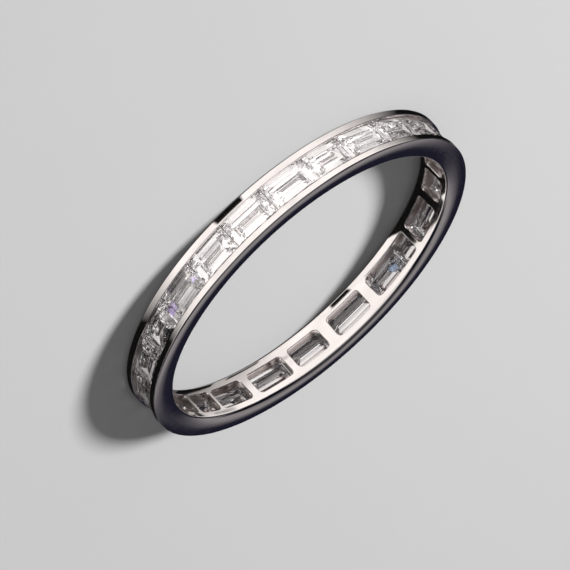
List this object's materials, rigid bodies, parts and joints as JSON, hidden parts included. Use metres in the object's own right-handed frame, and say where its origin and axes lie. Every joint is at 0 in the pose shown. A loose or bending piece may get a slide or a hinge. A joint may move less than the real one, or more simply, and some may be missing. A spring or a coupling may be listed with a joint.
{
  "type": "eternity ring",
  "caption": "Full eternity ring: a slim white metal band with step cut baguette stones channel set all round, and windows cut through the sleeve behind them.",
  "frame": {"origin": "middle of the plane of the lower side face, on which the ring lies", "axes": "+Z along the ring's axis, up from the surface that it lies on"},
  "size_m": [0.0198, 0.0198, 0.0022],
  "materials": {
    "white_metal": "polished",
    "diamond": "polished"
  },
  "bodies": {
    "root": {"band": "white_metal", "stone_01": "diamond", "stone_02": "diamond", "stone_03": "diamond", "stone_04": "diamond", "stone_05": "diamond", "stone_06": "diamond", "stone_07": "diamond", "stone_08": "diamond", "stone_09": "diamond", "stone_10": "diamond", "stone_11": "diamond", "stone_12": "diamond", "stone_13": "diamond", "stone_14": "diamond", "stone_15": "diamond", "stone_16": "diamond", "stone_17": "diamond", "stone_18": "diamond", "stone_19": "diamond", "stone_20": "diamond", "stone_21": "diamond", "stone_22": "diamond", "stone_23": "diamond", "stone_24": "diamond"}
  },
  "joints": []
}
